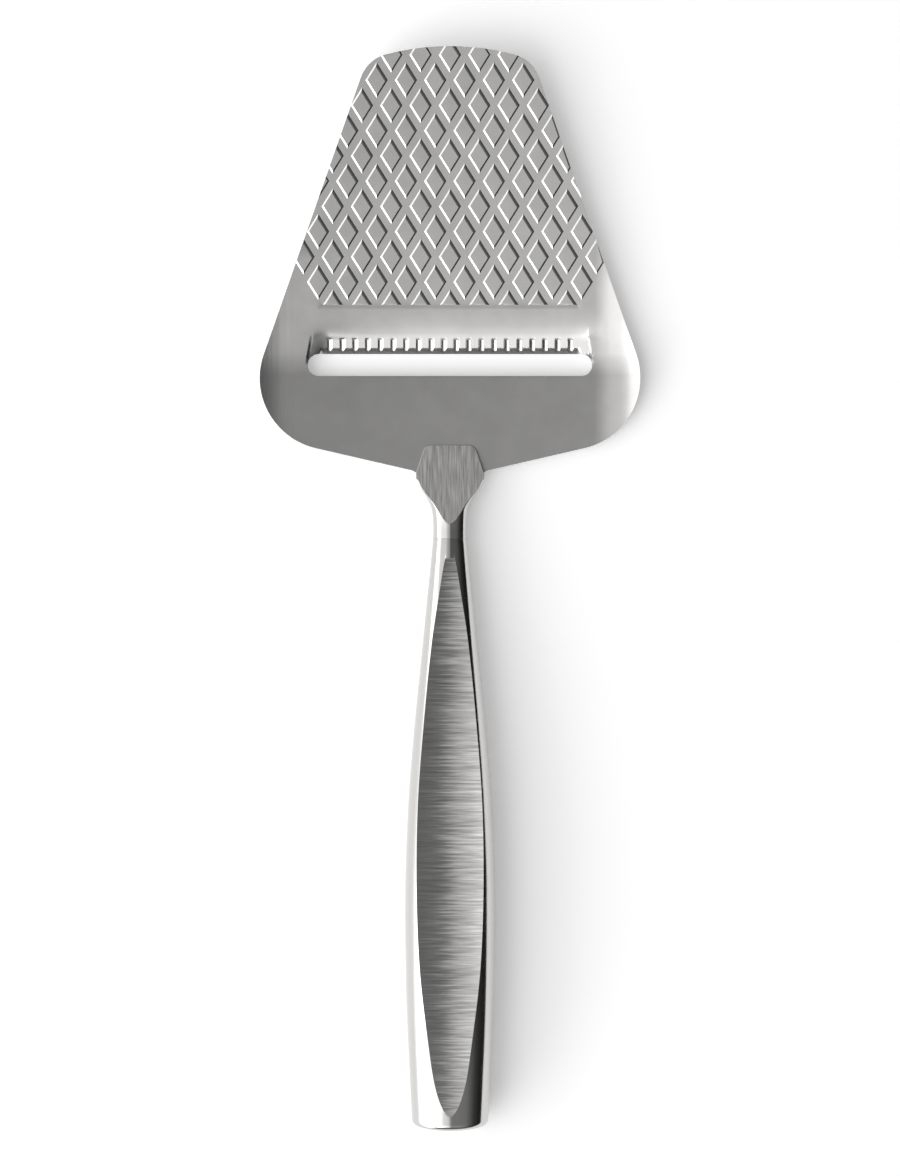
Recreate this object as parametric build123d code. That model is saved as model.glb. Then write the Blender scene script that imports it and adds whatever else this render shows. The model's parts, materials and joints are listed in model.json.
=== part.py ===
"""Cheese slicer: a stamped steel blade welded under the pad of a solid neck, on a hollow steel handle.

Millimetres. The tool is drawn with its blade flat: X across, +Y to the blade's tip, +Z to the upper side,
Y zero at the joint between neck and handle, Z zero at the underside of the blade. The last section lays the
whole tool on a table, where the cutting lip and the belly of the handle touch it.
"""

import os
from math import atan2, cos, degrees, radians, sin, sqrt, tan

from build123d import *

# Blade: the sheet and its outline
sheet = 1.2
blade_length = 97.9
crown_radius = 57.0
tip_corner_radius = 8.1
side_angle = 19.4
rear_angle = 13.0
ear_half_width = 43.1
ear_radius = 16.3
curl_half_width = 35.5
curl_radius = 30.0
tab_half_width = 6.9
tab_length = 3.7
tab_corner_radius = 2.8
tab_root_radius = 2.4

# Blade: the cutting slot, its lip and the grooves across the lip
slot_length = 64.4
slot_width = 4.9
rear_to_slot = 23.4
lip_length = 4.9
lip_ease_length = 7.5
lip_ease_drop = 0.35
lip_slope = 20.0
edge_drop = 1.7
edge_bevel = 1.4
lip_end_length = 3.4
groove_count = 20
groove_pitch = 2.88
groove_width = 1.1
groove_depth = 0.35
groove_setback = 3.4

# Blade: the raised diamonds, in rows half a step apart, from a straight line near the lip up to the tip
diamond_width = 5.04
diamond_length = 8.05
diamond_height = 0.28
diamond_flank = 0.42
diamond_pitch_across = 6.63
diamond_pitch_along = 11.39
pattern_setback = 6.3
last_row_cut = 0.5
last_row_count = 9

# Neck: the pad over the blade, and the spigot and braze inside the handle
neck_length = 13.2
pad_step = 1.55
pad_slope = 14.6
pad_reach = 7.8
pad_half_width = 7.7
pad_shoulder = 1.6
pad_front_half_width = 5.6
pad_corner_radius = 2.0
spigot_length = 14.0
spigot_fit = 0.1
braze_setback = 3.0
braze_width = 1.5
braze_depth = 0.5

# Neck: stem sections as shares of neck_length, of the step from seam to pad width, and of the seam's depth
stem_slope = 5.7
stem_under_slope = 8.0
stem_station_shares = (0.0, 0.1, 0.2, 0.3, 0.47, 0.64, 0.82, 1.02)
stem_width_shares = (0.0, 0.0, 0.0, 0.01, 0.09, 0.32, 0.69, 1.0)
stem_depth_shares = (1.0, 1.0, 1.0, 1.02, 1.12, 1.32, 1.8, 2.6)

# Spot welds between the blade and the pad, behind the pad's front edge
weld_radius = 1.3
weld_height = 0.8
weld_spread = 3.3
weld_front_setback = 3.0
weld_rear_setback = 6.4

# Handle: two pressed shells, with a long hollow-ground face along the front one
handle_length = 133.5
handle_half_width = 10.25
wall = 0.9
split_offset = 0.3
seam_height = 4.5
seam_slope = 7.0
butt_rise = 9.5
butt_dome_radius = 28.0
rim_radius = 1.6
face_hollow_radius = 45.0
bead_width = 1.2
bead_height = 0.8
bead_gap = 0.5

# Handle: stations as shares of handle_length, the last one past the butt that is cut domed, half widths as
# shares of handle_half_width, and half depths and the ground face's half widths as shares of each half width
station_shares = (0.0, 0.033, 0.089, 0.174, 0.309, 0.445, 0.58, 0.716, 0.835, 0.919, 0.967, 1.04)
width_shares = (0.377, 0.418, 0.495, 0.605, 0.785, 0.927, 0.995, 0.99, 0.944, 0.888, 0.855, 0.806)
depth_shares = (0.82, 0.82, 0.81, 0.79, 0.76, 0.74, 0.73, 0.73, 0.73, 0.73, 0.73, 0.73)
face_shares = (0.0, 0.25, 0.47, 0.66, 0.735, 0.762, 0.74, 0.68, 0.53, 0.375, 0.1, 0.0)

# How far a cutting solid runs past what it cuts
overrun = 5.0

# Places along and across the tool that several pieces share
tip_y = neck_length + blade_length
ear_x = ear_half_width - ear_radius
ear_y = neck_length + ear_x * tan(radians(rear_angle)) + ear_radius / cos(radians(rear_angle))
slot_rear_y = neck_length + rear_to_slot
edge_y = slot_rear_y + slot_width
crease_y = edge_y + lip_length
ease_y = crease_y + lip_ease_length
pad_front_y = neck_length + pad_reach
pad_front_height = sheet + pad_step
seam_half_width = handle_half_width * width_shares[0]
seam_half_depth = seam_half_width * depth_shares[0]


def side_solid(outline, half_width):
    """A solid of the given outline of (y, z) points, twice half_width wide."""
    face = make_face(Polyline(*[(0, y, z) for y, z in outline], close=True))
    return extrude(face, half_width, dir=(1, 0, 0), both=True)


def block(half_width, low_y, high_y, low_z, high_z):
    """A plain block across the tool."""
    return side_solid([(low_y, low_z), (high_y, low_z), (high_y, high_z), (low_y, high_z)], half_width)


def blade_outline():
    """The blade from above: straight sides and rear edges, round ears, a crowned tip and the rear tab."""
    side = Vector(cos(radians(side_angle)), sin(radians(side_angle)))
    rear = Vector(sin(radians(rear_angle)), -cos(radians(rear_angle)))
    ear = Vector(ear_x, ear_y)
    corner = ear + (side + rear) * (ear_radius / (1 + side.dot(rear)))
    far_y = tip_y + overrun
    far_x = corner.X - (far_y - corner.Y) * tan(radians(side_angle))
    corners = [(0, neck_length), (corner.X, corner.Y), (far_x, far_y), (-far_x, far_y), (-corner.X, corner.Y)]
    plan = make_face(Polyline(*corners, close=True))
    crown = Pos(0, tip_y - crown_radius) * Circle(crown_radius)
    beyond = Rectangle(4 * corner.X, 2 * blade_length, align=(Align.CENTER, Align.MIN))
    plan -= Pos(0, tip_y - crown_radius / 2) * beyond - crown
    plan = fillet(plan.vertices().group_by(Axis.Y)[-1], tip_corner_radius)
    ears = plan.vertices().group_by(Axis.X)
    plan = fillet(ears[0] + ears[-1], ear_radius)
    tab_y = neck_length - tab_length
    plan += Pos(0, tab_y) * Rectangle(2 * tab_half_width, ear_y - tab_y, align=(Align.CENTER, Align.MIN))
    roots = plan.vertices().group_by(Axis.Y)
    plan = fillet(roots[1], tab_root_radius)
    return fillet(plan.vertices().group_by(Axis.Y)[0], tab_corner_radius)


def curled_sheet():
    """The flat sheet whose long sides curl up, before it is cut to its outline."""
    reach = ear_half_width - curl_half_width + overrun
    band = Circle(curl_radius) - Circle(curl_radius - sheet)
    band &= Pos(0, -curl_radius) * Rectangle(reach, curl_radius, align=(Align.MIN, Align.MIN))
    curl = Pos(curl_half_width, curl_radius) * band
    section = Pos(0, sheet / 2) * Rectangle(2 * curl_half_width, sheet) + curl + mirror(curl, Plane.YZ)
    across = Plane.XZ.offset(-tip_y - overrun)
    return extrude(across * section, blade_length + neck_length + 2 * overrun)


def lip_height(y):
    """Height of the lip's upper face at a place between its crease and its bevel."""
    return sheet - lip_ease_drop - tan(radians(lip_slope)) * (crease_y - y)


def cutting_lip():
    """The strip in front of the slot, drawn down to a ground edge and eased into the sheet at both ends."""
    bevel_y = edge_y + edge_bevel
    flat = [(ease_y, sheet), (crease_y, sheet), (bevel_y, sheet), (edge_y, 0), (crease_y, 0), (ease_y, 0)]
    drawn = [(ease_y, sheet), (crease_y, lip_height(crease_y)), (bevel_y, lip_height(bevel_y))]
    drawn += [(edge_y, -edge_drop), (crease_y, -lip_ease_drop), (ease_y, 0)]
    ends = slot_length / 2
    inner = ends - lip_end_length
    sections = [(-ends, flat), (-inner, drawn), (inner, drawn), (ends, flat)]
    faces = [make_face(Polyline(*[(x, y, z) for y, z in outline], close=True)) for x, outline in sections]
    return loft(faces, ruled=True)


def lip_grooves():
    """The short round-bottomed grooves across the lip, as cutters that run out through its bevel."""
    slope = radians(lip_slope)
    radius = (groove_width**2 / 4 + groove_depth**2) / (2 * groove_depth)
    start_y = edge_y + groove_setback
    rise = radius - groove_depth
    middle = (0, start_y - rise * sin(slope), lip_height(start_y) + rise * cos(slope))
    down = Plane(origin=middle, x_dir=(1, 0, 0), z_dir=(0, -cos(slope), -sin(slope)))
    cutter = down * Cylinder(radius, groove_setback + overrun, align=(Align.CENTER, Align.CENTER, Align.MIN))
    first_x = -groove_pitch * (groove_count - 1) / 2
    return [Pos(first_x + groove_pitch * i, 0, 0) * cutter for i in range(groove_count)]


def diamond():
    """One raised diamond with sloping flanks, its base a little way down in the sheet."""
    root = diamond_height
    wide = diamond_width - 2 * diamond_flank
    long = wide * diamond_length / diamond_width
    grow = 1 + 2 * diamond_flank * (1 + root / diamond_height) / wide
    top = make_face(Polyline((wide / 2, 0), (0, long / 2), (-wide / 2, 0), (0, -long / 2), close=True))
    return loft([Pos(0, 0, sheet - root) * scale(top, grow), Pos(0, 0, sheet + diamond_height) * top])


def diamond_field(outline):
    """All raised diamonds, in staggered rows, cut off at the blade's edges and at the last straight line."""
    last_y = crease_y + pattern_setback
    rows = 2 + int(2 * (tip_y - last_y) / diamond_pitch_along)
    half_count = 1 + int(ear_half_width / diamond_pitch_across)
    piece = diamond()
    copies = []
    for row in range(rows):
        y = last_y - last_row_cut + row * diamond_pitch_along / 2
        shift = (row % 2) / 2
        reach = (last_row_count - 1 + row) / 2 if row < 2 else half_count
        places = [i + shift for i in range(-half_count, half_count + 1)]
        copies += [Pos(x * diamond_pitch_across, y, 0) * piece for x in places if abs(x) <= reach]
    height = sheet + 2 * diamond_height
    limit = extrude(outline, height) & block(2 * ear_half_width, last_y, tip_y + overrun, 0, height)
    return [solid for copy in copies for solid in (copy & limit).solids()]


def make_blade(nuggets):
    """The stamped blade: curled sheet in its outline, lip, slot, grooves and raised diamonds."""
    outline = blade_outline()
    plate = curled_sheet() & extrude(outline, 4 * ear_half_width, both=True)
    plate -= block(slot_length / 2, edge_y, ease_y, -overrun, overrun)
    plate += cutting_lip()
    slot = Pos(0, edge_y - slot_width / 2, -overrun) * SlotOverall(slot_length, slot_width)
    plate -= extrude(slot, 2 * overrun)
    plate -= lip_grooves()
    plate += diamond_field(outline)
    return plate - nuggets


def handle_height(share):
    """Height of the handle's centre line, a parabola that leaves the seam at seam_slope."""
    start_rise = tan(radians(seam_slope)) * handle_length
    return seam_height + start_rise * share + (butt_rise - start_rise) * share**2


def centre_curve(offset):
    """The handle's centre line, raised by an offset and run past both ends."""
    low, high = -overrun / handle_length, 1 + overrun / handle_length
    start_rise = tan(radians(seam_slope)) * handle_length
    slope = start_rise + 2 * (butt_rise - start_rise) * low
    middle = handle_height(low) + slope * (high - low) / 2
    ends = [(-low * handle_length, handle_height(low)), (-high * handle_length, handle_height(high))]
    points = [ends[0], ((ends[0][0] + ends[1][0]) / 2, middle), ends[1]]
    return Bezier(*[(0, y, z + offset) for y, z in points])


def centre_slab(low, high):
    """A slab that follows the handle's centre line, between two offsets above it."""
    bottom, top = centre_curve(low), centre_curve(high)
    face = make_face([bottom, Line(bottom @ 1, top @ 1), top, Line(top @ 0, bottom @ 0)])
    return extrude(face, 2 * handle_half_width, dir=(1, 0, 0), both=True)


def handle_stations():
    """Place, half width, half depth and ground half width of each handle section."""
    for share, width, depth, face in zip(station_shares, width_shares, depth_shares, face_shares):
        half_width = width * handle_half_width
        yield share, half_width, depth * half_width, face * half_width


def face_cutter(inset):
    """The grinding wheel's path along the front: circles whose lowest points follow the ground face."""
    stations = [station for station in handle_stations() if station[3] > 0]
    path = []
    for share, half_width, half_depth, face in stations:
        floor = half_depth * sqrt(1 - (face / half_width) ** 2) - face**2 / (2 * face_hollow_radius)
        path.append((share, handle_height(share) + floor - inset))
    exit_share = 1 + overrun / handle_length
    (before, low), (last, high) = path[-2:]
    path.append((exit_share, high + (high - low) * (exit_share - last) / (last - before)))
    section = Circle(face_hollow_radius)
    centres = [(height + face_hollow_radius, share * handle_length) for share, height in path]
    return loft([Plane.XZ * Pos(0, height, setback) * section for height, setback in centres])


def handle_form(inset):
    """The handle's outer form, or the space left inside it by a wall as thick as the inset."""
    rings = []
    for share, half_width, half_depth, _ in handle_stations():
        origin = (0, -share * handle_length, handle_height(share))
        plane = Plane(origin=origin, x_dir=(0, 0, -1), z_dir=(0, -1, 0))
        rings.append(plane * Ellipse(half_depth - inset, half_width - inset))
    form = loft(rings)
    butt_middle = (0, butt_dome_radius - handle_length, handle_height(1))
    dome = Pos(*butt_middle) * Sphere(butt_dome_radius - inset)
    dome_low_y = -handle_length + butt_dome_radius / 4
    end = block(2 * handle_half_width, -2 * handle_length, dome_low_y, -overrun, 4 * handle_half_width)
    form -= end - dome
    if rim_radius > inset:
        rim = form.faces().sort_by(Axis.Y)[0].edges()
        form = fillet(rim, rim_radius - inset)
    return form - face_cutter(inset)


def make_neck(blade, nuggets):
    """The solid neck: pad and stem ground off along one plane, a rebate for the blade, and the spigot."""
    rings = []
    for place, width, depth in zip(stem_station_shares, stem_width_shares, stem_depth_shares):
        y = place * neck_length
        half_width = seam_half_width + width * (pad_half_width - seam_half_width)
        plane = Plane(
            origin=(0, y, seam_height - tan(radians(stem_slope)) * y), x_dir=(0, 0, -1), z_dir=(0, -1, 0)
        )
        rings.append(plane * Ellipse(depth * seam_half_depth, half_width))
    shoulder_y = neck_length + pad_shoulder
    right = [(pad_half_width, neck_length), (pad_half_width, shoulder_y), (pad_front_half_width, pad_front_y)]
    pad_plan = make_face(Polyline(*right, *[(-x, y) for x, y in reversed(right)], close=True))
    pad_plan = fillet(pad_plan.vertices().group_by(Axis.Y)[-1], pad_corner_radius)
    body = loft(rings) + extrude(pad_plan, 2 * pad_front_height)
    seam_top = pad_front_height + tan(radians(pad_slope)) * pad_front_y
    tab_y = neck_length - tab_length
    profile = [(0, tan(radians(stem_under_slope)) * tab_y), (tab_y, 0), (pad_front_y, 0)]
    body &= side_solid([*profile, (pad_front_y, pad_front_height), (0, seam_top)], 2 * pad_half_width)
    body -= extrude(blade_outline(), sheet)
    spigot = handle_form(wall + spigot_fit) & block(handle_half_width, -spigot_length, 0, 0, 2 * seam_top)
    return body + spigot - braze_space() - nuggets


def braze_space():
    """The ring-shaped space for braze between the spigot's groove and the shells."""
    ring = handle_form(wall) - handle_form(wall + spigot_fit + braze_depth)
    low_y = -braze_setback - braze_width
    return ring & block(2 * handle_half_width, low_y, -braze_setback, -overrun, 4 * handle_half_width)


def make_nuggets():
    """Three weld nuggets, half in the blade and half in the pad."""
    front_y, rear_y = pad_front_y - weld_front_setback, pad_front_y - weld_rear_setback
    places = [(-weld_spread, front_y), (weld_spread, front_y), (0, rear_y)]
    return [Pos(x, y, sheet) * Cylinder(weld_radius, weld_height) for x, y in places]


def make_shells():
    """The front and back shells, split along the handle just above its widest line."""
    solid, hollow = handle_form(0), handle_form(wall)
    upper = centre_slab(split_offset, 4 * handle_half_width)
    return (solid & upper) - hollow, (solid - upper) - hollow


def make_seam_bead():
    """The weld bead inside the long seam, from one side of the spigot round the butt to the other."""
    strip = handle_form(wall) - handle_form(wall + bead_width)
    strip &= centre_slab(split_offset - bead_height / 2, split_offset + bead_height / 2)
    start_y = -spigot_length - bead_gap
    return strip & block(2 * handle_half_width, -handle_length, start_y, -overrun, 4 * handle_half_width)


def rest_tilt():
    """How far the tool turns about its cutting edge, handle down, until something else meets the table."""
    angles = [degrees(atan2(edge_drop, edge_y - neck_length + tab_length))]
    for share, _, half_depth, _ in handle_stations():
        drop = handle_height(share) - half_depth + edge_drop
        angles.append(degrees(atan2(drop, edge_y + share * handle_length)))
    return min(angles)


nuggets = make_nuggets()
blade = make_blade(nuggets)
front_shell, back_shell = make_shells()
parts = {
    "blade": blade,
    "neck": make_neck(blade, nuggets),
    "spot_welds": Compound(nuggets),
    "neck_braze_ring": braze_space(),
    "handle_front_shell": front_shell,
    "handle_back_shell": back_shell,
    "handle_seam_bead": make_seam_bead(),
}

# The tool at rest on the table, centred over the origin
turned = {name: Rot(X=rest_tilt()) * shape for name, shape in parts.items()}
boxes = [shape.bounding_box(optimal=True) for shape in turned.values()]
low_y, high_y = min(box.min.Y for box in boxes), max(box.max.Y for box in boxes)
drop_z = min(box.min.Z for box in boxes)
os.makedirs("parts", exist_ok=True)
for name, shape in turned.items():
    export_step(Pos(0, -(low_y + high_y) / 2, -drop_z) * shape, f"parts/{name}.step")
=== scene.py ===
"""Cheese slicer: the looks of its stamped blade, brushed neck and hollow pressed handle, on a table."""

import json
from math import asin, cos, hypot, pi, radians, sin, sqrt, tan

import bmesh
import bpy
import numpy as np
from mathutils import Matrix, Vector
from mathutils.kdtree import KDTree


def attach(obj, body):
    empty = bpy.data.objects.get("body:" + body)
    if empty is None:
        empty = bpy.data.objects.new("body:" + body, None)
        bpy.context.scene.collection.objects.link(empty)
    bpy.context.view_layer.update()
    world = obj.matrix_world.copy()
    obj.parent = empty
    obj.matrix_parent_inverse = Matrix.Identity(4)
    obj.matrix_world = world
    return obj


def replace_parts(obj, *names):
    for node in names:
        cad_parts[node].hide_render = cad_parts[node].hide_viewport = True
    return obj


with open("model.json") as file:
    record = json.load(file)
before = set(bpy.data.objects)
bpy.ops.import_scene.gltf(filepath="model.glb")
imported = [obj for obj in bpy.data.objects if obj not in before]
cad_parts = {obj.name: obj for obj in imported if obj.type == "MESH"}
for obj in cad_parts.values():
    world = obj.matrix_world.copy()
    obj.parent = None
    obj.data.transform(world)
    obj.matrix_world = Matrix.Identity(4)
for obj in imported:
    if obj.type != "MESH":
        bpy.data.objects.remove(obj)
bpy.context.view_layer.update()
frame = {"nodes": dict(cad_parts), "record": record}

# The blade
# One stamping of 1.2 mm stainless sheet. The press raises the diamonds, draws the cutting lip down in front
# of the slot and curls the long sides up. The sheet is blasted to a fine satin before its edge is ground.
mm = 0.001
sheet = 1.2 * mm
diamond_height = 0.28 * mm
curl_start = 35.5 * mm
curl_end = 43.1 * mm
curl_radius = 30.0 * mm
curl_strips = 14
curl_power = 2.4
weld_distance = 0.001 * mm
# Pieces are shaped in the tool's own frame: from the joint of neck and handle along y, and up from the
# blade's underside. They are then tilted and moved to where the tool rests on the table.
joint_y = 11.553 * mm
joint_z = -0.365 * mm
blade_tilt = asin(frame["record"]["mounts"][0]["axis"][1])
tool_to_table = Matrix.Translation((0, joint_y, joint_z)) @ Matrix.Rotation(blade_tilt, 4, "X")


def cad_copy(node):
    """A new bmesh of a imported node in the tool's own frame, its loose triangles joined at their edges."""
    copy = bmesh.new()
    copy.from_mesh(frame["nodes"][node].data)
    bmesh.ops.remove_doubles(copy, verts=copy.verts, dist=weld_distance)
    copy.transform(tool_to_table.inverted())
    copy.normal_update()
    return copy


def placed(shape, name, material):
    """The object of a bmesh, put in the scene."""
    mesh = bpy.data.meshes.new(name)
    shape.to_mesh(mesh)
    shape.free()
    mesh.materials.append(material)
    piece = bpy.data.objects.new(name, mesh)
    bpy.context.scene.collection.objects.link(piece)
    return piece


def finished(shape, name, material, sharp_angle):
    """The object of a finished bmesh, back in its place on the table, smooth but for its sharp edges."""
    shape.transform(tool_to_table)
    for face in shape.faces:
        face.smooth = True
    for edge in shape.edges:
        edge.smooth = edge.smooth and edge.calc_face_angle(0) < sharp_angle
    piece = placed(shape, name, material)
    weighted = piece.modifiers.new("flat faces stay flat", "WEIGHTED_NORMAL")
    weighted.keep_sharp = True
    return piece


def linear(colour):
    """The linear value of an sRGB hex colour, as shaders want it."""
    parts = [int(colour[i:i + 2], 16) / 255 for i in (1, 3, 5)]
    return (*[part / 12.92 if part <= 0.04045 else ((part + 0.055) / 1.055) ** 2.4 for part in parts], 1)


def new_material(name):
    """An empty material."""
    material = bpy.data.materials.new(name)
    material.use_nodes = True
    material.node_tree.nodes.clear()
    return material


def add(material, kind, sockets, **settings):
    """Adds one node: settings are its properties, sockets its inputs, each a value or a node's output."""
    node = material.node_tree.nodes.new("ShaderNode" + kind)
    for name, value in settings.items():
        setattr(node, name, value)
    for name, value in sockets.items():
        if isinstance(value, bpy.types.NodeSocket):
            material.node_tree.links.new(value, node.inputs[name])
        else:
            node.inputs[name].default_value = value
    return node


def ramp(material, factor, stops):
    """A colour ramp through (place, grey) or (place, hex colour) stops."""
    node = add(material, "ValToRGB", {"Fac": factor})
    elements = node.color_ramp.elements
    while len(elements) < len(stops):
        elements.new(0.5)
    for element, (place, value) in zip(elements, stops):
        element.position = place
        element.color = linear(value) if isinstance(value, str) else (value, value, value, 1)
    return node.outputs["Color"]


def blasted_steel():
    """Glass-blasted stainless sheet: fine pits give an even, slightly mottled satin, the same each way."""
    # Real pits are well under 0.1 mm across, and are drawn coarser here so that they show
    grit = 0.5 * mm
    pit_depth = 0.01 * mm
    mottle = 6.0 * mm
    material = new_material("glass_blasted_stainless_sheet")
    place = add(material, "TexCoord", {}).outputs["Object"]
    axes = add(material, "SeparateXYZ", {"Vector": place})
    # Stamping leaves the sheet a little hollow across and bent up behind the slot, too little to measure
    across = add(material, "MapRange", {
        "Value": axes.outputs["X"], "From Min": -curl_end, "From Max": curl_end})
    hollow = ramp(material, across.outputs["Result"], [
        (0.0, 0.22), (0.04, 0.11), (0.085, 0.012), (0.88, 0.085), (0.95, 0.34), (1.0, 0.42)])
    slot_rear = edge_y - slot_width + joint_y
    bent = add(material, "MapRange", {
        "Value": axes.outputs["Y"], "From Min": slot_rear, "From Max": crease_y + joint_y,
        "To Min": -0.09, "To Max": 0.0}, interpolation_type="SMOOTHSTEP")
    # Behind the slot the sheet's colour is painted a little darker, as painted shade
    behind = add(material, "MapRange", {
        "Value": axes.outputs["Y"], "From Min": slot_rear, "From Max": edge_y + joint_y,
        "To Min": 0.68, "To Max": 1.0})
    lean = add(material, "CombineXYZ", {"X": hollow, "Y": bent.outputs["Result"]})
    facing = add(material, "NewGeometry", {}).outputs["Normal"]
    leaning = add(material, "VectorMath", {0: facing, 1: lean.outputs["Vector"]}, operation="SUBTRACT")
    set_normal = add(material, "VectorMath", {0: leaning.outputs["Vector"]}, operation="NORMALIZE")
    pits = add(material, "TexNoise", {"Vector": place, "Scale": 1 / grit, "Detail": 2.0})
    cloud = add(material, "TexNoise", {"Vector": place, "Scale": 1 / mottle, "Detail": 3.0})
    colour = ramp(material, cloud.outputs["Fac"], [(0.3, "#c6c5c4"), (0.7, "#cecdcc")])
    # The base colour is scaled down behind the slot: painted shade
    colour_with_painted_shade = add(material, "VectorMath", {0: colour, "Scale": behind.outputs["Result"]}, operation="SCALE")
    rough = add(material, "MapRange", {"Value": pits.outputs["Fac"], "To Min": 0.2, "To Max": 0.28})
    dents = add(material, "Bump", {
        "Height": pits.outputs["Fac"], "Strength": 0.2, "Distance": pit_depth,
        "Normal": set_normal.outputs["Vector"]})
    shader = add(material, "BsdfPrincipled", {
        "Base Color": colour_with_painted_shade.outputs["Vector"], "Metallic": 1.0, "Roughness": rough.outputs["Result"],
        "Normal": dents.outputs["Normal"]})
    add(material, "OutputMaterial", {"Surface": shader.outputs["BSDF"]})
    return material


slot_length = 64.4 * mm
slot_width = 4.9 * mm
edge_y = 41.5 * mm
bevel_length = 1.4 * mm
crease_y = edge_y + 4.9 * mm
ease_y = crease_y + 5.8 * mm
ease_drop = 0.35 * mm
lip_slope = tan(radians(20.0))
edge_drop = 1.7 * mm
edge_land = 0.05 * mm
crease_softness = 0.3 * mm
ring_half_width = 35.4 * mm
eased_half_width = 26.0 * mm
left_eased_half_width = 8.0 * mm
eased_rear_length = 0.8 * mm
drawn_half_width = 27.4 * mm
end_taper = 0.17
end_wall = 0.35 * mm
left_end_wall = 0.6 * mm
left_end_share = 0.22
left_end_length = 3 * mm
ends_start_y = crease_y + mm
ends_length = 3 * mm
grinding_half_width = 28.9 * mm
grinding_run_out = 1.4 * mm
groove_count = 20
groove_pitch = 2.88 * mm
groove_width = 1.1 * mm
groove_depth = 0.35 * mm
groove_end_y = edge_y + 3.4 * mm
groove_run_out = 0.3 * mm
rim_round = 0.08 * mm


def ease(t):
    """A smooth step from 0 to 1."""
    t = min(max(t, 0.0), 1.0)
    return t * t * (3 - 2 * t)


def groove_cut(x, y):
    """How deep the nearest groove is at one place of the lip."""
    nearest = min(max(round(x / groove_pitch + (groove_count - 1) / 2), 0), groove_count - 1)
    off = abs(x - (nearest - (groove_count - 1) / 2) * groove_pitch)
    radius = (groove_width**2 / 4 + groove_depth**2) / (2 * groove_depth)
    depth = sqrt(radius**2 - off**2) - radius + groove_depth if off < groove_width / 2 else 0.0
    return depth * ease((groove_end_y - y) / groove_run_out + 0.5)


def drawn_heights(x, y, at_edge):
    """Heights of the upper and lower face of the sheet round the slot."""
    # The press tears the lip free at its right end, and draws it down more gently at its left end
    wall_foot = slot_length / 2 - end_taper * (y - edge_y) - end_wall
    wall_width = end_wall if x > 0 else left_end_wall
    torn = 1.0 if x > 0 else left_end_share * ease((crease_y - y) / left_end_length)
    eased_to = eased_half_width if x > 0 else left_eased_half_width
    level = 1 - ease((abs(x) - eased_to) / (ring_half_width - eased_to))
    drawn = 1 - (1 - torn) * ease((abs(x) - drawn_half_width) / (wall_foot - drawn_half_width))
    drawn *= 1 - ease((abs(x) - wall_foot) / wall_width)
    drawn = level + (drawn - level) * ease((ends_start_y - y) / ends_length)
    drawn *= ease((y - edge_y + slot_width / 2) / (slot_width / 2))
    place = max(y, edge_y)
    share = min(max((ease_y - place) / (ease_y - crease_y), 0.0), 1.0)
    eased = -ease_drop * share**2
    eased *= ease((y - edge_y + slot_width + eased_rear_length) / (slot_width + eased_rear_length))
    lip = -ease_drop - lip_slope * (crease_y - place)
    soft = (eased + lip - sqrt((eased - lip)**2 + crease_softness**2)) / 2
    soft = soft if place < ease_y else 0.0
    bevel_y = edge_y + bevel_length
    bevel_top = -ease_drop - lip_slope * (crease_y - bevel_y)
    bevel_low = edge_land - edge_drop - sheet
    ground = bevel_low + (bevel_top - bevel_low) * (place - edge_y) / bevel_length
    ground += sheet * ease((abs(x) - grinding_half_width) / grinding_run_out)
    beside = (1 - drawn) * level * eased
    upper = beside + drawn * min(soft - groove_cut(x, place), ground)
    fall = max(crease_y - place, 0.0) / (crease_y - edge_y)
    lower = beside + drawn * (-ease_drop - (edge_drop - ease_drop) * fall if fall > 0 else eased)
    rounded = max(1 - drawn, ease((abs(x) - grinding_half_width) / grinding_run_out))
    rounding = rim_round * rounded if at_edge else 0.0
    return sheet + upper - rounding, lower


ring_rear_y = edge_y - slot_width - 1.0 * mm
lip_columns = 330
rear_columns = 40
end_steps = (56, 64, 24)
# Shares of the way out from the slot's edge, closest together at the edge and in the crease
ring_rows = [0.0, 0.006, 0.04, 0.075, bevel_length / (ease_y - edge_y)]
ring_rows += list(np.linspace(ring_rows[-1], 0.46, 18)[1:]) + list(np.linspace(0.46, 1.0, 10)[1:])


def ring_columns():
    """Pairs of points round the slot: one on its outline, one on the straight frame about it."""
    radius = slot_width / 2
    straight = slot_length / 2 - radius
    middle_y = edge_y - radius
    turns = sum(end_steps)
    frame_corners = [
        (straight, ease_y), (ring_half_width, ease_y),
        (ring_half_width, ring_rear_y), (straight, ring_rear_y)]
    right_end = []
    step = 0
    for count, start, end in zip(end_steps, frame_corners, frame_corners[1:]):
        for i in range(count):
            turn = pi * step / turns
            inner = (straight + radius * sin(turn), middle_y + radius * cos(turn))
            outer = [a + (b - a) * i / count for a, b in zip(start, end)]
            right_end.append((inner, outer))
            step += 1
    right_end.append(((straight, middle_y - radius), frame_corners[-1]))
    lip = [((x, edge_y), (x, ease_y)) for x in np.linspace(-straight, straight, lip_columns + 1)[:-1]]
    rear_places = np.linspace(straight, -straight, rear_columns + 1)[1:-1]
    rear = [((x, middle_y - radius), (x, ring_rear_y)) for x in rear_places]
    left_end = [((-a[0], a[1]), (-b[0], b[1])) for a, b in reversed(right_end)]
    return lip + right_end + rear + left_end[:-1]


blade_shape = cad_copy("blade")
height_margin = diamond_height / 8
flat_angle = radians(0.1)
raised_edges = []
for edge in blade_shape.edges:
    if all(face.calc_center_median().z > sheet + height_margin for face in edge.link_faces):
        raised_edges.append(edge)
bmesh.ops.dissolve_limit(blade_shape, angle_limit=flat_angle, verts=[], edges=raised_edges)


def cut(shape, parts, point, normal):
    """Cuts the given parts of a shape along a plane."""
    bmesh.ops.bisect_plane(shape, geom=parts, dist=weld_distance, plane_co=point, plane_no=normal)


def all_of(shape):
    """Everything in a shape, as the operators want it."""
    return [*shape.verts, *shape.edges, *shape.faces]


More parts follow.
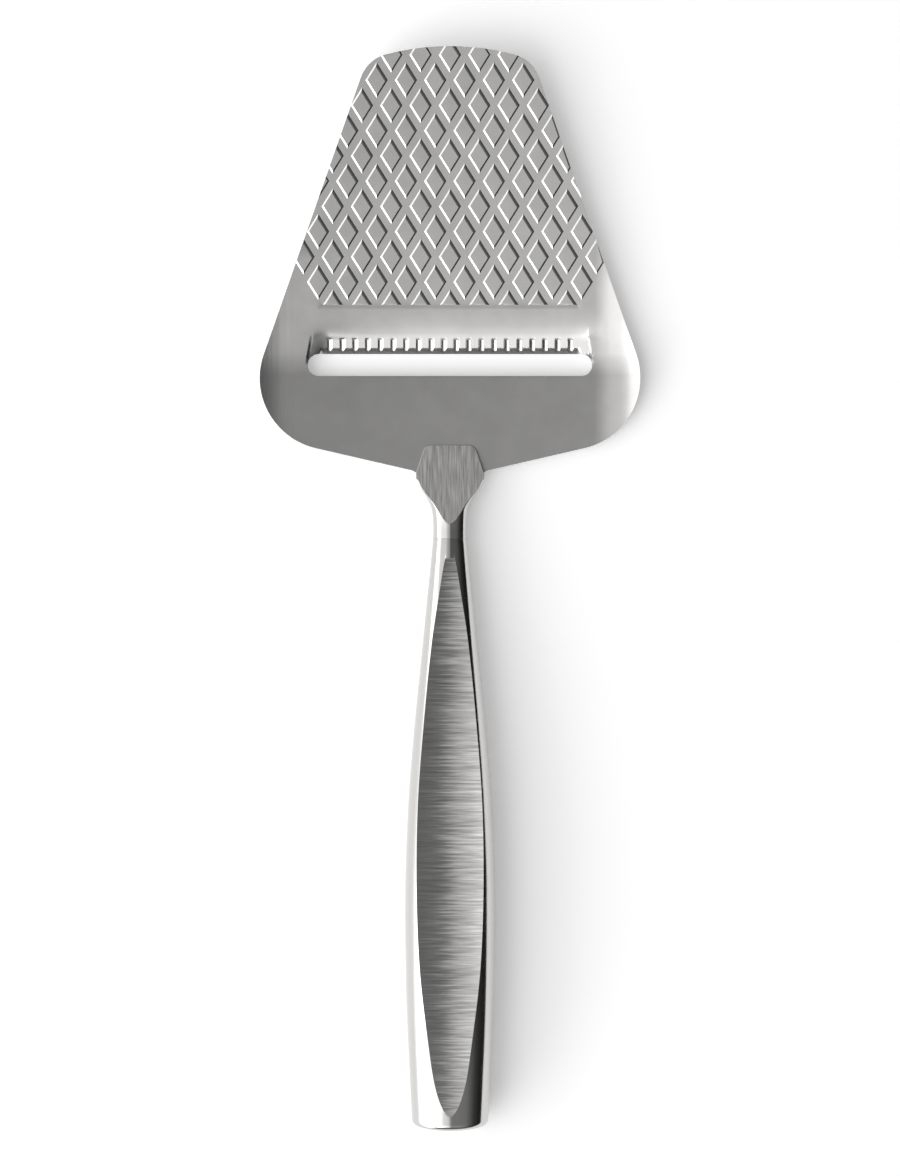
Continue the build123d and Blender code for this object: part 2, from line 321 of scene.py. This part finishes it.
def roll_over(shape, edges, width):
    """Rounds edges of a shape off, over a width on either side of each."""
    bmesh.ops.bevel(
        shape, geom=edges, offset=width, offset_type="OFFSET", segments=4, profile=0.5, affect="EDGES",
        clamp_overlap=False, material=-1)


# The long sides are cut into strips and laid on a curl that starts gently. The points farther from the
# middle of the curl are on the sheet's lower face.
for side in (-1, 1):
    for strip in range(curl_strips):
        cut_x = side * (curl_start + (curl_end - curl_start) * strip / curl_strips)
        cut(blade_shape, all_of(blade_shape), (cut_x, 0, 0), (1, 0, 0))
for vert in blade_shape.verts:
    beyond = abs(vert.co.x) - curl_start
    if beyond > 0:
        lower = hypot(beyond, vert.co.z - curl_radius) > curl_radius - sheet * 0.6
        rise = curl_radius - sqrt((curl_radius - (0 if lower else sheet))**2 - (curl_end - curl_start)**2)
        start_z = 0 if lower else sheet
        vert.co.z = start_z + (rise - start_z) * (beyond / (curl_end - curl_start))**curl_power

# The upper right side of each diamond rolls over in a wide shoulder, and so does the foot of the last row
facing_up = 0.99
wide_shoulder = 0.42 * mm
shortest_side = 2 * mm
last_row_y = crease_y + 6.3 * mm
last_row_round = 0.24 * mm
top_z = sheet + diamond_height
tops = []
for face in blade_shape.faces:
    if face.normal.z > facing_up and abs(face.calc_center_median().z - top_z) < height_margin:
        tops.append(face)
shoulders = []
for top in tops:
    middle = top.calc_center_median()
    for edge in top.edges:
        off = (edge.verts[0].co + edge.verts[1].co) / 2 - middle
        along = edge.verts[1].co - edge.verts[0].co
        if along.x * along.y < 0 and off.x > 0 and off.y > 0 and edge.calc_length() > shortest_side:
            shoulders.append(edge)
roll_over(blade_shape, shoulders, wide_shoulder)
foot_edges = []
for edge in blade_shape.edges:
    off_line = max(abs(vert.co.y - last_row_y) for vert in edge.verts)
    below_top = max(top_z - vert.co.z for vert in edge.verts)
    if off_line < 2 * weld_distance and below_top < 2 * weld_distance:
        foot_edges.append(edge)
roll_over(blade_shape, foot_edges, last_row_round)

# Round the slot, the lip, its grooves and its ground edge are one fine grid, welded into the sheet
ring_sides = ((0, ring_half_width), (0, -ring_half_width), (1, ease_y), (1, ring_rear_y))
for axis, place in ring_sides:
    cut(blade_shape, all_of(blade_shape), (place, place, 0), (1 - axis, axis, 0))
inside = []
for face in blade_shape.faces:
    middle = face.calc_center_median()
    if abs(middle.x) < ring_half_width and ring_rear_y < middle.y < ease_y:
        inside.append(face)
bmesh.ops.delete(blade_shape, geom=inside, context="FACES")
columns_round = ring_columns()
for axis, place in ring_sides:
    line = []
    for edge in blade_shape.edges:
        if edge.is_boundary and all(abs(vert.co[axis] - place) < weld_distance for vert in edge.verts):
            line += [edge, *edge.verts]
    for _, outer in columns_round:
        if abs(outer[axis] - place) < weld_distance:
            line = bmesh.ops.bisect_plane(
                blade_shape, geom=list(set(line)), dist=weld_distance, plane_co=(*outer, 0),
                plane_no=(axis, 1 - axis, 0))["geom"]
plate_rim = [vert for vert in blade_shape.verts if vert.is_boundary]
ring = bmesh.new()
around, through = len(columns_round), 2 * len(ring_rows) - 1
bmesh.ops.create_grid(ring, x_segments=around, y_segments=through, size=1)
for vert in ring.verts:
    inner, outer = columns_round[round((vert.co.x + 1) / 2 * around) % around]
    row = round((vert.co.y + 1) / 2 * through)
    upper = row >= len(ring_rows)
    share = ring_rows[row - len(ring_rows) if upper else len(ring_rows) - 1 - row]
    x, y = (a + (b - a) * share for a, b in zip(inner, outer))
    high, low = drawn_heights(x, y, share == 0)
    vert.co = (x, y, high if upper else low)
bmesh.ops.remove_doubles(ring, verts=ring.verts, dist=weld_distance / 10)
ring_mesh = bpy.data.meshes.new("ring")
ring.to_mesh(ring_mesh)
ring.free()
blade_shape.from_mesh(ring_mesh)
bpy.data.meshes.remove(ring_mesh)
ring_rim = [vert for vert in blade_shape.verts if vert.is_boundary and vert not in set(plate_rim)]
nearest_on_ring = KDTree(len(ring_rim))
for i, vert in enumerate(ring_rim):
    nearest_on_ring.insert(vert.co, i)
nearest_on_ring.balance()
welded = {vert: ring_rim[nearest_on_ring.find(vert.co)[1]] for vert in plate_rim}
bmesh.ops.weld_verts(blade_shape, targetmap=welded)
bmesh.ops.recalc_face_normals(blade_shape, faces=blade_shape.faces)
blade = finished(blade_shape, "stamped_blade", blasted_steel(), sharp_angle=radians(25))
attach(blade, "root")
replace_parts(blade, "blade")


# The neck
# One solid forging, ground flat along the top and brushed lengthwise there. Its stem is polished, its pad
# is spot-welded over the blade's tab, and its hidden spigot is brazed into the handle.
pad_slope = radians(14.6)
pad_edge = 0.2 * mm
on_the_pad = 0.9999


def lay_flat(shape, along_x):
    """UV coordinates straight from above, so that a surface's scratches have a direction."""
    layer = shape.loops.layers.uv.new("scratches")
    for face in shape.faces:
        for loop in face.loops:
            x, y = loop.vert.co.x, loop.vert.co.y
            loop[layer].uv = (x, y) if along_x else (y, x)


def polished_steel():
    """Polished stainless steel: close to a mirror, with the mop's faint lengthwise lines."""
    # The mop's lines are too fine to show, and are drawn coarser here so that they do
    line = 0.25 * mm
    material = new_material("mop_polished_stainless_steel")
    place = add(material, "TexCoord", {}).outputs["Object"]
    along = add(material, "Mapping", {"Vector": place, "Scale": (1.0, 0.02, 1.0)})
    lines = add(material, "TexNoise", {"Vector": along.outputs["Vector"], "Scale": 1 / line, "Detail": 2.0})
    rough = add(material, "MapRange", {"Value": lines.outputs["Fac"], "To Min": 0.09, "To Max": 0.17})
    shader = add(material, "BsdfPrincipled", {
        "Base Color": linear("#cdccca"), "Metallic": 1.0, "Roughness": rough.outputs["Result"]})
    add(material, "OutputMaterial", {"Surface": shader.outputs["BSDF"]})
    return material


def brushed_steel():
    """Stainless steel brushed lengthwise on a belt: long parallel scratches, light and dark."""
    # Belt scratches are about 0.05 mm apart, and are drawn coarser here so that they show
    scratch = 0.3 * mm
    material = new_material("belt_brushed_stainless_steel")
    place = add(material, "TexCoord", {}).outputs["Object"]
    along = add(material, "Mapping", {"Vector": place, "Scale": (1.0, 0.05, 0.05)})
    lines = add(material, "TexNoise", {
        "Vector": along.outputs["Vector"], "Scale": 1 / scratch, "Detail": 3.0})
    colour = ramp(material, lines.outputs["Fac"], [(0.3, "#a3a2a0"), (0.7, "#e2e1df")])
    across = add(material, "Tangent", {}, direction_type="UV_MAP", uv_map="scratches")
    shader = add(material, "BsdfPrincipled", {
        "Base Color": colour, "Metallic": 1.0, "Roughness": 0.45, "Anisotropic": 0.8,
        "Tangent": across.outputs["Tangent"]})
    add(material, "OutputMaterial", {"Surface": shader.outputs["BSDF"]})
    return material


neck_shape = cad_copy("neck")
up_from_pad = Vector((0, sin(pad_slope), cos(pad_slope)))
inner = []
for edge in neck_shape.edges:
    if all(face.normal.dot(up_from_pad) > on_the_pad for face in edge.link_faces):
        inner.append(edge)
bmesh.ops.dissolve_limit(neck_shape, angle_limit=flat_angle, verts=[], edges=inner)
neck_shape.normal_update()

# The top is brushed, and the rest polished, up over the edge between them
for face in neck_shape.faces:
    face.material_index = 0 if face.normal.dot(up_from_pad) > on_the_pad else 1
pad_rim = []
for edge in neck_shape.edges:
    if len({face.material_index for face in edge.link_faces}) == 2:
        pad_rim.append(edge)
bmesh.ops.bevel(
    neck_shape, geom=pad_rim, offset=pad_edge, offset_type="OFFSET", segments=2, profile=0.5,
    affect="EDGES", clamp_overlap=True, material=1)
lay_flat(neck_shape, along_x=True)
polished = polished_steel()
neck = finished(neck_shape, "forged_neck", brushed_steel(), sharp_angle=radians(20))
neck.data.materials.append(polished)
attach(neck, "root")
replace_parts(neck, "neck")


# The welds and the braze
# Three spot welds join blade and pad, a braze ring holds the neck's spigot in the handle, and a bead runs
# inside the long seam. All of it is closed in by steel, and looks as it came from the torch.
def weld_metal():
    """Weld and braze metal: rippled, with straw and blue heat tints under a thin oxide."""
    ripple = 0.5 * mm
    ripple_depth = 0.1 * mm
    material = new_material("as_welded_filler_metal")
    place = add(material, "TexCoord", {}).outputs["Object"]
    ripples = add(material, "TexNoise", {"Vector": place, "Scale": 1 / ripple, "Detail": 2.0})
    tint = ramp(material, ripples.outputs["Fac"], [(0.3, "#8f8a80"), (0.5, "#b09a72"), (0.7, "#7d8496")])
    dents = add(material, "Bump", {
        "Height": ripples.outputs["Fac"], "Strength": 0.5, "Distance": ripple_depth})
    shader = add(material, "BsdfPrincipled", {
        "Base Color": tint, "Metallic": 1.0, "Roughness": 0.45, "Normal": dents.outputs["Normal"]})
    add(material, "OutputMaterial", {"Surface": shader.outputs["BSDF"]})
    return material


filler = weld_metal()
for node in ("spot_welds", "neck_braze_ring", "handle_seam_bead"):
    frame["nodes"][node].material_slots[0].material = filler


# The handle's shells
# Two pressings of 0.9 mm stainless sheet, welded along both sides and round the butt and polished so that
# no seam shows. A large wheel then grinds one long hollow face crosswise into the front shell.
handle_length = 133.5 * mm
handle_half_width = 10.25 * mm
wall = 0.9 * mm
split_offset = 0.3 * mm
seam_height = 4.5 * mm
seam_slope = radians(7.0)
butt_rise = 9.5 * mm
dome_radius = 28.0 * mm
rim_radius = 1.6 * mm
butt_inset = 0.003 * mm
hollow_radius = 45.0 * mm
station_shares = (0.0, 0.033, 0.089, 0.174, 0.309, 0.445, 0.58, 0.716, 0.835, 0.919, 0.967, 1.04)
width_shares = (0.377, 0.418, 0.495, 0.605, 0.785, 0.927, 0.995, 0.99, 0.944, 0.888, 0.855, 0.806)
depth_shares = (0.82, 0.82, 0.81, 0.79, 0.76, 0.74, 0.73, 0.73, 0.73, 0.73, 0.73, 0.73)
face_shares = (0.0, 0.25, 0.47, 0.66, 0.735, 0.762, 0.74, 0.68, 0.53, 0.375, 0.1, 0.0)


def ground_steel():
    """Hollow-ground stainless face: the wheel leaves short crosswise scratches, light and dark."""
    # Wheel scratches are about 0.1 mm apart, and are drawn coarser here so that they show
    scratch = 0.35 * mm
    material = new_material("wheel_ground_stainless_face")
    place = add(material, "TexCoord", {}).outputs["Object"]
    across = add(material, "Mapping", {"Vector": place, "Scale": (0.05, 1.0, 0.05)})
    lines = add(material, "TexNoise", {
        "Vector": across.outputs["Vector"], "Scale": 1 / scratch, "Detail": 4.0})
    colour = ramp(material, lines.outputs["Fac"], [(0.3, "#b6b5b4"), (0.55, "#c8c7c6"), (0.75, "#d6d5d4")])
    axes = add(material, "SeparateXYZ", {"Vector": place})
    # One deeper line lies across the face where the wheel set down. The shape has no step there, and the
    # line's shade is painted into the colour as a darker band
    line_from, line_to = joint_y - 8.2 * mm, joint_y - 7.2 * mm
    set_down = add(material, "MapRange", {
        "Value": axes.outputs["Y"], "From Min": line_from, "From Max": line_to})
    line = ramp(material, set_down.outputs["Result"], [
        (0.3, 1.0), (0.42, 0.55), (0.55, 0.4), (0.6, 1.0), (0.75, 0.8)])
    # The colour is darkened across that band: painted shade of the line
    colour_with_painted_crease_shade = add(material, "VectorMath", {0: colour, 1: line}, operation="MULTIPLY")
    # The wheel's chatter turns each scratch a little to one side, which shows where the reflection changes
    chatter = add(material, "MapRange", {
        "Value": lines.outputs["Fac"], "From Min": 0.3, "From Max": 0.7, "To Min": 0.045, "To Max": -0.045})
    turned = add(material, "CombineXYZ", {"X": chatter.outputs["Result"]})
    facing = add(material, "NewGeometry", {}).outputs["Normal"]
    turning = add(material, "VectorMath", {0: facing, 1: turned.outputs["Vector"]}, operation="ADD")
    set_normal = add(material, "VectorMath", {0: turning.outputs["Vector"]}, operation="NORMALIZE")
    along = add(material, "Tangent", {}, direction_type="UV_MAP", uv_map="scratches")
    shader = add(material, "BsdfPrincipled", {
        "Base Color": colour_with_painted_crease_shade.outputs["Vector"], "Metallic": 1.0, "Roughness": 0.3, "Anisotropic": 0.8,
        "Normal": set_normal.outputs["Vector"], "Tangent": along.outputs["Tangent"]})
    add(material, "OutputMaterial", {"Surface": shader.outputs["BSDF"]})
    return material


def between(shares, values, place):
    """The smooth curve through values at their shares of the handle's length."""
    slopes = np.gradient(values, shares)
    left = min(max(int(np.searchsorted(shares, place)) - 1, 0), len(shares) - 2)
    span = shares[left + 1] - shares[left]
    t = (place - shares[left]) / span
    ends = (2 * t**3 - 3 * t**2 + 1) * values[left] + (3 * t**2 - 2 * t**3) * values[left + 1]
    return ends + ((t**3 - 2 * t**2 + t) * slopes[left] + (t**3 - t**2) * slopes[left + 1]) * span


def centre_height(share):
    """Height of the handle's centre line above the blade's underside."""
    start_rise = tan(seam_slope) * handle_length
    return seam_height + start_rise * share + (butt_rise - start_rise) * share**2


half_widths = [width * handle_half_width for width in width_shares]
half_depths = [depth * half_width for depth, half_width in zip(depth_shares, half_widths)]
face_start, face_end = station_shares[1], 0.9705
cut_shares = [*station_shares[1:-1], face_end]
cut_depths = []
for face_share, half_width, half_depth in zip(face_shares[1:-1], half_widths[1:-1], half_depths[1:-1]):
    edge = face_share * half_width
    cut_depths.append(half_depth * (1 - sqrt(1 - face_share**2)) + edge**2 / (2 * hollow_radius))
cut_depths.append(0.0)


def section(share):
    """Half width, half depth, the ground face's share of the width and its lowest height at one place."""
    half_width = between(station_shares, half_widths, share)
    half_depth = between(station_shares, half_depths, share)
    cut = max(0.0, between(cut_shares, cut_depths, share)) if face_start <= share <= face_end else 0.0
    # The share follows from the depth of the cut: a first estimate, mended six times
    curve = half_depth / 2 + half_width**2 / (2 * hollow_radius)
    ratio = sqrt(cut / curve)
    for _ in range(6):
        rise = hollow_radius - sqrt(hollow_radius**2 - (ratio * half_width)**2)
        wanted = half_depth * (1 - sqrt(1 - ratio**2)) + rise
        ratio *= sqrt(cut / wanted) if wanted > 0 else 0
    return half_width, half_depth, ratio, half_depth - cut


# Each shell is a grid. Its middle columns cover the ground face. They are least_face wide or more, and
# first_face wide before the face starts. Its rows are shares of the handle's length, then of the turn over
# the butt's rim, then of the way out from the dome's middle.
side_columns = 18
face_columns = 16
columns = 2 * side_columns + face_columns
least_face = 0.06
first_face = 0.25
last_face_row = 0.968
step_gap = 0.0002
body_rows = 112
rim_rows = 13
rows = [("body", share) for share in (0, 0.0006, 0.008, 0.016, 0.024, face_start - step_gap, face_start)]
rows += [("body", share) for share in np.linspace(face_start, 0.955, body_rows)[1:]]
rows += [("body", share) for share in (0.960, 0.9645, last_face_row, face_end, 0.974)]
rows += [("rim", turn) for turn in np.linspace(0, 1, rim_rows)]
rows += [("dome", share) for share in (0.85, 0.7, 0.5, 0.3, 0.12, 0.0)]
seam_chamfer = 0.02 * mm


def skin_point(column, share, front):
    """One point of the handle's skin, across from the centre line and up from it."""
    half_width, half_depth, ratio, floor = section(share)
    split = split_offset / half_depth
    across = (column - columns / 2) / (face_columns / 2)
    if not front:
        turn = (pi - np.arccos(split)) * (2 * column / columns - 1)
        return half_width * sin(turn), -half_depth * cos(turn)
    width = first_face if share < face_start else max(ratio, least_face)
    if abs(across) <= 1:
        x = across * width * half_width
        z = half_depth * sqrt(1 - (x / half_width)**2)
        ground = floor + hollow_radius - sqrt(hollow_radius**2 - x**2)
        return x, min(z, ground) if ratio > 0 else z
    outward = (abs(across) - 1) * (face_columns / 2) / side_columns
    turn = asin(width) + (np.arccos(split) - asin(width)) * outward
    return (half_width * sin(turn) * (1 if across > 0 else -1), half_depth * cos(turn))


def shell_point(column, row, front):
    """The place of one grid point in the tool's own frame."""
    kind, value = row
    if kind == "body":
        x, z = skin_point(column, value, front)
        inset = 1 - seam_chamfer / hypot(x, z) if value == 0 else 1
        return Vector((x * inset, -value * handle_length, centre_height(value) + z * inset))
    dome_y = dome_radius - handle_length + butt_inset
    # The dome cuts the skin at a share of the length that hangs on the skin's reach, found in three steps
    share = 0.98
    for _ in range(3):
        x, z = skin_point(column, share, front)
        reach = hypot(x, z)
        back = sqrt((dome_radius - rim_radius)**2 - (reach - rim_radius)**2)
        share = (back - dome_y) / handle_length
    lean = asin((reach - rim_radius) / (dome_radius - rim_radius))
    if kind == "rim":
        turn = value * (pi / 2 - lean)
        out = reach - rim_radius + rim_radius * cos(turn)
        y = dome_y - back - rim_radius * sin(turn)
    else:
        out = value * dome_radius * sin(lean)
        y = dome_y - sqrt(dome_radius**2 - out**2)
    middle = centre_height(min(share, 1.0))
    return Vector((x * out / reach, y, middle + z * out / reach))


def handle_shell(name, front):
    """One shell: a grid bent into the skin, its last row drawn to a point, then thickened inwards."""
    shape = bmesh.new()
    bmesh.ops.create_grid(shape, x_segments=columns, y_segments=len(rows) - 1, size=1)
    order = {}
    for vert in shape.verts:
        column = round((vert.co.x + 1) / 2 * columns)
        order[vert] = (column, round((vert.co.y + 1) / 2 * (len(rows) - 1)))
    edges_of_face = (side_columns, side_columns + face_columns)
    first = rows.index(("body", face_start))
    last = rows.index(("body", last_face_row))
    for face in shape.faces:
        places = [order[vert] for vert in face.verts]
        on_face = all(edges_of_face[0] <= c <= edges_of_face[1] and first <= r <= last for c, r in places)
        face.material_index = 1 if front and on_face else 0
    for edge in shape.edges:
        (c0, r0), (c1, r1) = [order[vert] for vert in edge.verts]
        along = c0 == c1 and c0 in edges_of_face and first <= min(r0, r1) and max(r0, r1) <= last
        blunt = r0 == r1 == first and edges_of_face[0] <= min(c0, c1) and max(c0, c1) <= edges_of_face[1]
        edge.smooth = not (front and (along or blunt))
    for vert, (column, row) in order.items():
        vert.co = shell_point(column, rows[row], front)
    bmesh.ops.remove_doubles(shape, verts=shape.verts, dist=weld_distance)
    # The shell is still open, so its outermost face tells whether all of them point outwards
    bmesh.ops.recalc_face_normals(shape, faces=shape.faces)
    top = max(shape.faces, key=lambda face: face.calc_center_median().z * (1 if front else -1))
    if (top.normal.z > 0) != front:
        bmesh.ops.reverse_faces(shape, faces=shape.faces)
    lay_flat(shape, along_x=False)
    shell = finished(shape, name, polished, sharp_angle=radians(60))
    shell.data.materials.append(ground)
    thickness = shell.modifiers.new("sheet thickness", "SOLIDIFY")
    thickness.thickness = wall
    thickness.offset = -1
    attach(shell, "root")
    return shell


ground = ground_steel()
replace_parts(handle_shell("front_handle_pressing", True), "handle_front_shell")
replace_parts(handle_shell("back_handle_pressing", False), "handle_back_shell")


# The table and the light
# A plain pale table under a tent of white cloth. The tent is bright on its left and dark on its right,
# where the polished steel finds its black side.
floor_half_width = 3.0
floor_lift = 0.3


def white_behind(material, shader, strength):
    """Adds white light to a shader, but only as the camera, metal and glass see it, and gives the sum."""
    path = add(material, "LightPath", {})
    seen = path.outputs["Is Camera Ray"]
    for ray in ("Is Glossy Ray", "Is Transmission Ray"):
        seen = add(material, "Math", {0: seen, 1: path.outputs[ray]}, operation="MAXIMUM").outputs[0]
    power = add(material, "Math", {0: seen, 1: strength}, operation="MULTIPLY")
    glow = add(material, "Emission", {"Color": linear("#ffffff"), "Strength": power.outputs[0]})
    return add(material, "AddShader", {0: shader, 1: glow.outputs["Emission"]}).outputs[0]


def pale_table():
    """Matt white board: even and plain, lifted to white where no shadow lies."""
    material = new_material("matt_white_board")
    matt = add(material, "BsdfDiffuse", {"Color": linear("#f4f4f4")})
    add(material, "OutputMaterial", {"Surface": white_behind(material, matt.outputs["BSDF"], floor_lift)})
    return material


table_shape = bmesh.new()
bmesh.ops.create_grid(table_shape, x_segments=1, y_segments=1, size=floor_half_width)
table = placed(table_shape, "table", pale_table())


tent_radius = 2.0
tent_half_length = 3.0
tent_strips = 48
tent_light = 4.0
# The lamps stand towards the handle's butt, so the cloth fades from there to the blade's tip
lit_end_y, dim_end_y = -0.85 * tent_radius, 0.3 * tent_radius
lit_end_light, dim_end_light = 2.1 * tent_light, 0.7 * tent_light
world_light = 0.15


def tent_cloth():
    """White tent cloth with lamps behind its left side: bright there, dim overhead, dark on the right."""
    material = new_material("lit_tent_cloth")
    place = add(material, "TexCoord", {}).outputs["Object"]
    axes = add(material, "SeparateXYZ", {"Vector": place})
    across = add(material, "MapRange", {
        "Value": axes.outputs["X"], "From Min": -tent_radius, "From Max": tent_radius})
    level = ramp(material, across.outputs["Result"], [
        (0.0, 0.25), (0.01, 0.75), (0.067, 0.75), (0.1, 0.35), (0.33, 0.33), (0.36, 0.22), (0.44, 0.17),
        (0.49, 0.15), (0.51, 0.045), (0.66, 0.045), (0.8, 0.04), (0.93, 0.01), (1.0, 0.002)])
    along = add(material, "MapRange", {
        "Value": axes.outputs["Y"], "From Min": lit_end_y, "From Max": dim_end_y,
        "To Min": lit_end_light, "To Max": dim_end_light})
    glow = add(material, "Emission", {"Color": level, "Strength": along.outputs["Result"]})
    add(material, "OutputMaterial", {"Surface": glow.outputs["Emission"]})
    return material


tent_shape = bmesh.new()
ends = [tent_shape.verts.new((-tent_radius, y, 0)) for y in (-tent_half_length, tent_half_length)]
hem = tent_shape.edges.new(ends)
bmesh.ops.spin(tent_shape, geom=[*ends, hem], cent=(0, 0, 0), axis=(0, 1, 0), angle=pi, steps=tent_strips)
tent = placed(tent_shape, "light_tent", tent_cloth())
tent.visible_camera = False

world = bpy.data.worlds.new("studio")
world.use_nodes = True
bpy.context.scene.world = world
background = world.node_tree.nodes["Background"]
background.inputs["Color"].default_value = linear("#ffffff")
background.inputs["Strength"].default_value = world_light


# The camera
# Straight above the slicer, as in the photograph, whose 1176 pixels of height take in 267 mm.
frame_height = 266.95 * mm
camera_height = 1.4
sensor_height = 24.0
camera_data = bpy.data.cameras.new("camera")
camera_data.sensor_fit = "VERTICAL"
camera_data.sensor_height = sensor_height
camera_data.lens = sensor_height * camera_height / frame_height
camera = bpy.data.objects.new("camera", camera_data)
camera.location = (0, 0, camera_height)
bpy.context.scene.collection.objects.link(camera)
bpy.context.scene.camera = camera
bpy.context.scene.view_settings.view_transform = "Standard"
